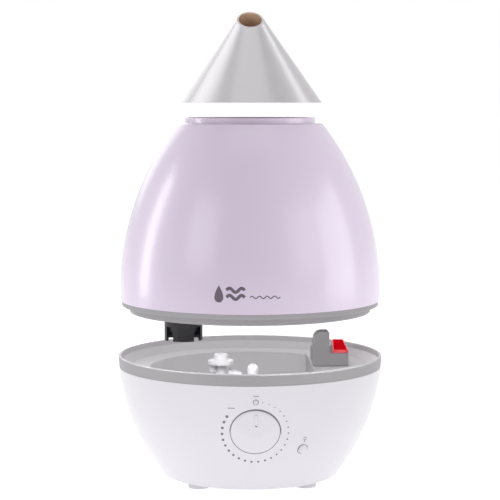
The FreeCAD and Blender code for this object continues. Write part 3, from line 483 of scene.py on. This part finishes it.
def cone_line(foot_radius, plane_shift, angle):
    """Where the cone's line at each angle meets the leaning plane, as (radius, height).

    The line has r = foot - slope z, and the plane has z = z0 + k y with y = -r cos(angle), so
    z = (z0 - k foot cos) / (1 - k slope cos).
    """
    front = nozzle_radius - nozzle_slope * cut_front
    back = nozzle_radius - nozzle_slope * cut_back
    lean = (cut_back - cut_front) / (front + back)
    base = cut_front + lean * front + plane_shift
    height = (base - lean * foot_radius * np.cos(angle)) / (1 - lean * nozzle_slope
                                                            * np.cos(angle))
    return foot_radius - nozzle_slope * height, height


def nozzle_cone():
    """The cone's outer wall, lip, inner wall and foot as one closed grid."""
    columns = 288
    angle = np.linspace(0, 2 * math.pi, columns, endpoint=False)
    inner_foot = nozzle_radius - nozzle_wall * math.sqrt(1 + nozzle_slope ** 2)
    soft = 0.4 * mm
    outer_r, outer_z = cone_line(nozzle_radius, -soft, angle)
    inner_r, inner_z = cone_line(inner_foot, -soft, angle)
    share = np.concatenate([[0, 0.006, 0.012], np.linspace(0.04, 1, 50)])[:, None]
    outer = np.stack([nozzle_radius + (outer_r - nozzle_radius) * share, outer_z * share], axis=-1)
    inner = np.stack([inner_foot + (inner_r - inner_foot) * share,
                      inner_z * share], axis=-1)[::-1]
    bulge = np.linspace(0, math.pi, 7)[1:-1][:, None]
    mix = (1 - np.cos(bulge)) / 2
    lip = np.stack([outer_r * (1 - mix) + inner_r * mix,
                    outer_z * (1 - mix) + inner_z * mix + soft * np.sin(bulge)], axis=-1)
    profile = np.vstack([outer, lip, inner])
    radius, height = profile[..., 0], profile[..., 1]
    points = np.stack([radius * np.sin(angle), -radius * np.cos(angle), nozzle_foot + height],
                      axis=-1)
    piece = skin("nozzle_cone", points, True)
    piece.data.materials.append(finishes["pearl_cone"])
    piece.data.materials.append(nozzle_inside)
    first_inner = (len(outer) + len(lip) - 1) * columns
    slot_numbers = np.zeros(len(piece.data.polygons), np.int32)
    slot_numbers[first_inner:-columns] = 1
    piece.data.polygons.foreach_set("material_index", slot_numbers)
    return piece


nozzle_inside = moulded("nozzle_inside", (0.90, 0.62, 0.42), 0.45, 0.05, 60, peel=0.08)
nozzle = stands_for(nozzle_cone(), "nozzle", "pearl_cone", "cone_shell")
print("nozzle:", len(nozzle.data.polygons), "faces")

# %% [markdown]
# ## Marks printed on the bowl and the tank
#
# Printed marks could be an image, or a mask in the material, but as thin raised skins they keep a
# crisp edge at any distance and stay in the exported meshes. A mark is drawn on a flat pair of
# axes, sideways and upwards, and a function carries each point to the curved wall, a tenth of a
# millimetre proud of it. Twenty-six dots that grow clockwise tell the dial's strength.

# %% Points on the two walls
dial_height, dial_lean = 57.5 * mm, math.radians(19.2)
bowl_curve, bowl_centre_r, bowl_centre_z = 175.27 * mm, -62.364 * mm, 114.085 * mm


def bowl_radius_at(height):
    """The bowl's outer radius: the arc's centre plus the arc's reach at that height."""
    return bowl_centre_r + np.sqrt(bowl_curve ** 2 - (height - bowl_centre_z) ** 2)


dial_reach = float(bowl_radius_at(dial_height))


def on_bowl(side, up, lift):
    """A point drawn on the plane that touches the bowl at the dial, carried to the bowl's wall.

    The plane gives the height and the angle about the axis, and the wall gives the radius.
    """
    back, height = -dial_reach - math.sin(dial_lean) * up, dial_height + math.cos(dial_lean) * up
    angle = np.arctan2(side, -back)
    radius = bowl_radius_at(height) + lift
    return np.stack([radius * np.sin(angle), -radius * np.cos(angle), height + 0 * lift], axis=-1)


def on_tank(side, up, lift):
    """A point at a height above the dome's foot; side is measured round the dome's wall."""
    reach = tank_radius_at(tank_foot + up)
    angle, radius = side / reach, reach + lift
    return np.stack([radius * np.sin(angle), -radius * np.cos(angle), tank_foot + up + 0 * lift],
                    axis=-1)


print("the dial's centre is", round(dial_reach / mm, 2), "mm from the axis")


# %% Many marks in one mesh
sunk, proud = -0.15 * mm, 0.09 * mm


def marks(name, grids, sharp=50):
    """One mesh of small closed skins, given as a (count, rows, columns, 3) array.

    Each skin's first and last rows are closed by a fan to the middle of that row.
    """
    grids = np.asarray(grids)
    count, rows, columns = grids.shape[:3]
    caps = np.stack([grids[:, 0].mean(axis=1), grids[:, -1].mean(axis=1)], axis=1)
    points = np.concatenate([grids.reshape(count, -1, 3), caps], axis=1)
    quads = np.array(grid_faces(rows, columns, False))
    around, last = np.arange(columns), rows * columns
    after = (around + 1) % columns
    fans = np.concatenate([
        np.stack([after, around, np.full(columns, last)], axis=-1),
        np.stack([last - columns + around, last - columns + after,
                  np.full(columns, last + 1)], axis=-1)])
    step = (np.arange(count) * (last + 2))[:, None, None]
    faces = (quads + step).reshape(-1, 4).tolist() + (fans + step).reshape(-1, 3).tolist()
    return put_mesh(name, points, faces, sharp)


def blots(wall, side, up, outline):
    """Closed skins round centres (side, up): outline is (count, columns, 2), drawn round each.

    Four rows rise from under the wall to a flat top: (share of the outline, height).
    """
    share = np.array([1, 1, 0.93, 0.5])[:, None]
    height = np.array([sunk, 0.03 * mm, proud, 0.10 * mm])[:, None]
    x = side[:, None, None] + share * outline[:, None, :, 0]
    y = up[:, None, None] + share * outline[:, None, :, 1]
    return wall(x, y, np.broadcast_to(height, x.shape))


def strips(wall, paths, half_width):
    """Closed ribbons along paths (count, steps, 2), each with four corners across its section.

    The corners lie a half width to either side of the path, at and below the printed surface.
    """
    along = np.gradient(paths, axis=1)
    along /= np.linalg.norm(along, axis=-1, keepdims=True)
    left = np.stack([-along[..., 1], along[..., 0]], axis=-1)
    corner, height = np.array([1, 1, -1, -1]), np.array([sunk, proud, proud, sunk])
    spots = paths[:, :, None] + left[:, :, None] * (corner[:, None] * half_width)
    x, y = spots[..., 0], spots[..., 1]
    return wall(x, y, np.broadcast_to(height, x.shape))


print("mark helpers ready")

# %% Marks on the bowl
# This grey is print on the bowl; on the knob it also paints the shadow dot below the pointer.
print_and_shadow_grey = moulded("print_and_shadow_grey", (0.20, 0.175, 0.21), 0.55, 0.08, 300, peel=0.1,
                     peel_scale=3000)
circle = np.linspace(0, 2 * math.pi, 20, endpoint=False)
disc = np.stack([np.cos(circle), np.sin(circle)], axis=-1)
dot_ring, dot_count, dot_step = 27.6 * mm, 26, math.radians(11.6)
dot_turn = dot_step * np.arange(1, dot_count + 1)
dot_size = np.linspace(0.42, 1.32, dot_count) * mm
dots = marks("dial_dots", blots(on_bowl, dot_ring * np.sin(dot_turn), dot_ring * np.cos(dot_turn),
                                dot_size[:, None, None] * disc))


def dash(side, up, half_length):
    """A short level path."""
    return np.stack([side + np.linspace(-half_length, half_length, 5), np.full(5, up)], axis=-1)


def ring_path(side, up, radius, steps=24):
    """A path once round a centre; its ends meet."""
    turn = np.linspace(0, 2 * math.pi, steps)
    return np.stack([side + radius * np.sin(turn), up + radius * np.cos(turn)], axis=-1)


print_light = moulded("print_light", (0.36, 0.34, 0.37), 0.55, 0.05, 300, peel=0.1,
                      peel_scale=3000)
dash_half_width, fine_half_width = 0.42 * mm, 0.3 * mm
dash_above = dash(0.2 * mm, 32.6 * mm, 2.4 * mm)
dash_left = dash(-20.0 * mm, 22.0 * mm, 2.9 * mm)
dashes = marks("dial_dashes", strips(on_bowl, np.stack([dash_above, dash_left]),
                                     dash_half_width))
bulb, bulb_foot = (ring_path(44.4 * mm, -7.6 * mm, 1.4 * mm),
                   ring_path(43.9 * mm, -10.3 * mm, 0.45 * mm))
light_icon = marks("light_icon", strips(on_bowl, np.stack([bulb, bulb_foot]), fine_half_width))
round_indicator = ring_path(0, 27.4 * mm, 2.15 * mm)
indicator_ring = marks("indicator_ring", strips(on_bowl, round_indicator[None],
                                                fine_half_width))
for piece, paint in ((dots, print_and_shadow_grey), (dashes, print_light), (light_icon, print_light),
                     (indicator_ring, print_and_shadow_grey)):
    piece.data.materials.append(paint)
    stands_for(piece, "base", "grey_plastic")
print("marks on the bowl:", dot_count, "dots")

# %% [markdown]
# The tank carries a sign of its own in the same grey: a drop, two waves beside it, and a long
# fine wave. It says what the machine does, with no word in it.

# %% Sign on the tank
drop_turn = np.linspace(0, 2 * math.pi, 40, endpoint=False)


def drop_outline(half_width, half_height):
    """A falling drop: round below, drawn to a point above, as sin t and cos t with a pinch."""
    pinch = np.abs(np.sin(drop_turn / 2)) ** 1.3
    return np.stack([-half_width * 1.25 * np.sin(drop_turn) * pinch,
                     half_height * np.cos(drop_turn)], axis=-1)


def wave_path(start, up, length, height, waves, steps=48):
    """A sine wave along a level line."""
    share = np.linspace(0, 1, steps)
    return np.stack([start + length * share,
                     up + height * np.sin(2 * math.pi * waves * share)], axis=-1)


sign_height = 16.6 * mm
sign_paint = moulded("sign_paint", (0.125, 0.10, 0.13), 0.5, 0.08, 300, peel=0.1, peel_scale=3000)
drop = marks("sign_drop", blots(on_tank, np.array([-29.5 * mm]), np.array([sign_height]),
                                drop_outline(4.0 * mm, 6.9 * mm)[None]))
wave_start, wave_length, wave_height, wave_count = -23.3 * mm, 14.5 * mm, 1.6 * mm, 1.5
waves = marks("sign_waves", strips(on_tank, np.stack([
    wave_path(wave_start, sign_height + rise, wave_length, wave_height, wave_count)
    for rise in (3.0 * mm, -2.6 * mm)]), 1.25 * mm))
fine_wave = marks("sign_fine_wave", strips(on_tank, np.stack([
    wave_path(-4.6 * mm, sign_height - 2.6 * mm, 24 * mm, 0.9 * mm, 4, 96)]), 0.4 * mm))
for piece in (drop, waves, fine_wave):
    piece.data.materials.append(sign_paint)
    stands_for(piece, "tank", "lilac_tank")
print("sign on the tank made")

# %% [markdown]
# ## The dial's knob
#
# The knob's face carries on the bowl's curve, a little fuller. Its upper part is scooped by a
# slope that starts at a crease below the middle, so a finger finds the raised pointer. A disc
# grid has a height for every point, so the face is one formula: the lower of the curved face and
# the slope, blended softly at the crease.

# %% Knob
knob_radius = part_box("dial_knob")[1].x
dial_place = Matrix(((1, 0, 0, 0),
                     (0, -math.sin(dial_lean), -math.cos(dial_lean), -dial_reach),
                     (0, math.cos(dial_lean), -math.sin(dial_lean), dial_height),
                     (0, 0, 0, 1)))


def soft_lower(first, second, blend):
    """The lower of two heights, with the corner between them rounded over the blend's height."""
    gap = np.clip(0.5 + 0.5 * (second - first) / blend, 0, 1)
    return second * (1 - gap) + first * gap - blend * gap * (1 - gap)


def knob_height(side, up):
    """The face's height: it follows the bowl's two curves with a little more rise, and is cut
    above the crease by a slope of 8.5 degrees."""
    face, rise, crease = knob_radius - 0.7 * mm, 0.3 * mm, -3.5 * mm
    dome = (rise * (1 - (side ** 2 + up ** 2) / face ** 2) - side ** 2 / (2 * dial_reach)
            - up ** 2 / (2 * bowl_curve))
    slope = 0.05 * mm - math.tan(math.radians(8.5)) * (up - crease)
    return soft_lower(dome, slope, 0.35 * mm)


def knob_cap():
    """The knob: its face from the rim inwards, with a soft edge and the skirt's wall below."""
    turn = np.linspace(0, 2 * math.pi, 200, endpoint=False)
    share = 1 - np.linspace(0, 1, 41)[:-1] ** 1.15
    side, up = share[:, None] * np.cos(turn), share[:, None] * np.sin(turn)
    edge_curve, skirt_foot = 0.6 * mm, -6.3 * mm
    face = knob_radius - edge_curve
    top = np.stack([face * side, face * up, knob_height(face * side, face * up)], axis=-1)
    bend = np.radians([0, 25, 50, 72])[:, None]
    edge_r = face + edge_curve * np.cos(bend) + 0 * turn
    edge_z = top[0][:, 2] - edge_curve * (1 - np.sin(bend))
    edge = np.stack([edge_r * np.cos(turn), edge_r * np.sin(turn), edge_z], axis=-1)
    wide = np.array([knob_radius - 2 * mm, knob_radius])[:, None] + 0 * turn
    skirt = np.stack([wide * np.cos(turn), wide * np.sin(turn), skirt_foot + 0 * wide], axis=-1)
    points = np.vstack([skirt, edge, top])
    piece = skin("knob_cap", points, False, (0, 0, skirt_foot),
                 (0, 0, float(knob_height(0, 0))), 40)
    return placed(piece, dial_place)


knob = stands_for(knob_cap(), "dial", "knob_white", "dial_knob")
knob.data.materials.append(finishes["knob_white"])


def on_knob(side, up, lift):
    """A point on the knob's face, in the world."""
    height = knob_height(side, up) + lift
    spots = np.stack([side, up, height, np.ones_like(height)], axis=-1)
    return (spots @ np.array(dial_place).T)[..., :3]


def pointer_skin(side, up, half_width, half_length, height):
    """A long pill that stands on the knob's face: a stretched circle with a domed top."""
    turn = np.linspace(0, 2 * math.pi, 40, endpoint=False)
    share = np.array([1, 1, 0.9, 0.7, 0.35])[:, None]
    rise = np.array([-0.4 * mm, 0.35 * height, 0.8 * height, 0.97 * height, height])[:, None]
    x = side + half_width * share * np.cos(turn)
    y = up + half_width * share * np.sin(turn) + (half_length - half_width) * np.sign(
        np.round(np.sin(turn), 6))
    return on_knob(x, y, rise + 0 * x)[None]


pointer_side = 0.6 * mm
pointer = marks("dial_pointer", pointer_skin(pointer_side, 10.3 * mm, 1.25 * mm, 4.6 * mm,
                                             0.7 * mm))
pointer.data.materials.append(finishes["knob_white"])
stands_for(pointer, "dial", "knob_white")
# Painted shadow: a dark dot just below the pointer's lower end, where the raised pill shades the
# face.
pointer_shadow_dot = marks("pointer_shadow_dot", blots(on_knob, np.array([pointer_side]), np.array([5.4 * mm]),
                                         disc[None] * 0.95 * mm))
pointer_shadow_dot.data.materials.append(print_and_shadow_grey)
stands_for(pointer_shadow_dot, "dial", "grey_plastic")
print("knob:", len(knob.data.polygons), "faces")

# %% [markdown]
# The knob sits in a round recess. Where its face falls away at the top, the recess lies in shade,
# and that shade is painted: a dark crescent, widest a little to the right. It is a ring of its own
# here, a hair above the gap's floor, whose width follows the sine of the angle. A smaller crescent
# of painted shade rims the button, widest at its upper left.

# %% Painted shade in the gaps round the knob and the button
# A dark grey-purple painted shade for the recesses round the knob and the button.
painted_gap_shade = moulded("painted_gap_shade", (0.20, 0.165, 0.195), 0.6, 0.1, 200, peel=0.05)


def crescent(side, up, radius, width, first, last, lean):
    """A ribbon whose ends taper: width times the sine of its share of the way, to a power."""
    share = np.linspace(0, 1, 60)
    turn = np.radians(first + (last - first) * share)
    half = 0.5 * width * np.sin(math.pi * share ** lean) ** 0.6 + 0.02 * mm
    middle = radius - half
    corner = np.array([-1, -1, 1, 1])
    top = 0.07 * mm
    height = np.array([sunk, top, top, sunk])
    reach = middle[:, None] + corner * half[:, None]
    x = side + reach * np.sin(turn)[:, None]
    y = up + reach * np.cos(turn)[:, None]
    return on_bowl(x, y, np.broadcast_to(height, x.shape))[None]


# Painted shade: a dark crescent where the recess above the knob lies in shadow.
dial_gap = marks("dial_gap", crescent(0, 0, knob_radius + 1.3 * mm, 1.5 * mm, -92, 98, 1.25))
dial_lip = marks("dial_lip", crescent(0, 0, knob_radius + 0.95 * mm, 0.8 * mm, 84, 278, 1.0))
dial_lip.data.materials.append(finishes["white_shell"])
stands_for(dial_lip, "base", "white_shell")
button_side, button_up = 42.7 * mm, -17.4 * mm
# Painted shade: a thin dark crescent round the button, widest at its upper left.
button_gap_shade = marks("button_gap_shade", crescent(button_side, button_up, 4.4 * mm, 0.8 * mm, -105, 35,
                                          1.0))
for piece in (dial_gap, button_gap_shade):
    piece.data.materials.append(painted_gap_shade)
    stands_for(piece, "base", "grey_plastic")
print("gaps made")

# %% [markdown]
# ## The duct tower and its lens
#
# The tower is a hollow moulding: a thin tall fin in front, rounded more on its outer side, and a
# low deep block that the lens lies on. Both are outlines carried along Y, and each end rolls over
# a small radius, because a mould can't leave a knife edge.

# %% Tower
tower_low, tower_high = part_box("duct_tower")
tower_left, tower_right = tower_low.x, tower_high.x
tower_front, tower_back, tower_foot, tower_top = (tower_low.y, tower_high.y, tower_low.z,
                                                  tower_high.z)


def shrunk(outline, distance):
    """An outline moved inwards along its own normals by a distance."""
    along = np.roll(outline, -1, axis=0) - np.roll(outline, 1, axis=0)
    along /= np.linalg.norm(along, axis=1, keepdims=True)
    return outline + np.stack([-along[:, 1], along[:, 0]], axis=-1) * distance


def carried_along_y(name, outline, front, back, edge):
    """A convex outline (x, z) carried from front to back; its ends roll over the edge radius."""
    bend = np.linspace(0, math.pi / 2, 6)
    inset = edge * (1 - np.sin(bend))
    depth = edge * (1 - np.cos(bend))
    rows = [np.insert(shrunk(outline, i), 1, front + d, axis=1) for i, d in zip(inset, depth)]
    rows += [np.insert(shrunk(outline, i), 1, back - d, axis=1)
             for i, d in zip(inset[::-1], depth[::-1])]
    points = np.array(rows)
    middle = outline.mean(axis=0)
    return skin(name, points, False, (middle[0], front, middle[1]), (middle[0], back, middle[1]))


fin_right, fin_depth = 67.7 * mm, 13 * mm
fin_outline = rounded([(tower_left, tower_foot), (fin_right, tower_foot),
                       (fin_right, tower_top, 2.6 * mm), (tower_left, tower_top, 7.2 * mm)], 10)
block_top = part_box("light_lens")[0].z
block_outline = rounded([(tower_left + 1 * mm, tower_foot), (tower_right, tower_foot),
                         (tower_right, block_top, 0.9 * mm),
                         (tower_left + 1 * mm, block_top, 0.9 * mm)], 6)
tower_fin = carried_along_y("tower_fin", fin_outline, tower_front, tower_front + fin_depth,
                            1.1 * mm)
tower_block = carried_along_y("tower_block", block_outline, tower_front + 0.15 * mm, tower_back,
                              0.9 * mm)
for piece in (tower_fin, tower_block):
    piece.data.materials.append(finishes["grey_plastic"])
    stands_for(piece, "base", "grey_plastic", "duct_tower")
print("tower:", len(tower_fin.data.polygons) + len(tower_block.data.polygons), "faces")


# %% Lens
def lens_tray():
    """The lens: a four-sided tray whose rim climbs towards the back and stands over its floor.

    Rows run from the foot up the outside, over the rim and down to the floor; columns go round.
    """
    lens_low, lens_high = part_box("light_lens")
    front, back = lens_low.y + 0.1 * mm, lens_high.y - 0.1 * mm
    left, right, foot = lens_low.x, lens_high.x, lens_low.z
    outline = rounded([(left, front, 0.8 * mm), (right, front, 0.8 * mm),
                       (right, back, 0.8 * mm), (left + 3.5 * mm, back, 0.8 * mm)], 5)
    rim, climb = 1.0 * mm, 2.8 * mm
    level = (outline[:, 1] - front) / (back - front)
    outer_top, floor_top = foot + 2.4 * mm + climb * level, foot + 1.2 * mm + climb * level
    rows = [(0, foot + 0 * level), (0, outer_top - 0.25 * mm), (0.25 * mm, outer_top),
            (rim - 0.2 * mm, outer_top), (rim, outer_top - 0.2 * mm), (rim + 0.1 * mm, floor_top)]
    points = np.array([np.column_stack([shrunk(outline, inset), height])
                       for inset, height in rows])
    middle = outline.mean(axis=0)
    piece = skin("lens_tray", points, False, (*middle, foot),
                 (*middle, foot + 2.6 * mm), 30)
    piece.data.materials.append(finishes["red_lens"])
    # The outer side and the rim's top get a lighter red than the tray: a painted highlight.
    piece.data.materials.append(lens_rim_highlight)
    slot_numbers = np.zeros(len(piece.data.polygons), np.int32)
    slot_numbers[:4 * len(outline)] = 1
    piece.data.polygons.foreach_set("material_index", slot_numbers)
    return piece


# A lighter red, painted as the highlight along the lens's rim.
lens_rim_highlight = moulded("lens_rim_highlight", (0.66, 0.085, 0.095), 0.4, 0.1, 200, peel=0.05,
                    Specular_IOR_Level=0.2)
lens = stands_for(lens_tray(), "base", "red_lens", "light_lens")
print("lens:", len(lens.data.polygons), "faces")

# %% What the linked lamps reach
basin_names = ["basin", "float_stem", "float_retainer", "sensor_arm", "light_post", "valve_post",
               "level_float"]
for piece in [nodes[name] for name in basin_names] + [lens]:
    basin_parts.objects.link(piece)
    basin_shades.objects.link(piece)
for piece in (tower_fin, tower_block):
    basin_shades.objects.link(piece)
    tower_parts.objects.link(piece)
tank_parts.objects.link(tank)
nozzle_parts.objects.link(nozzle)
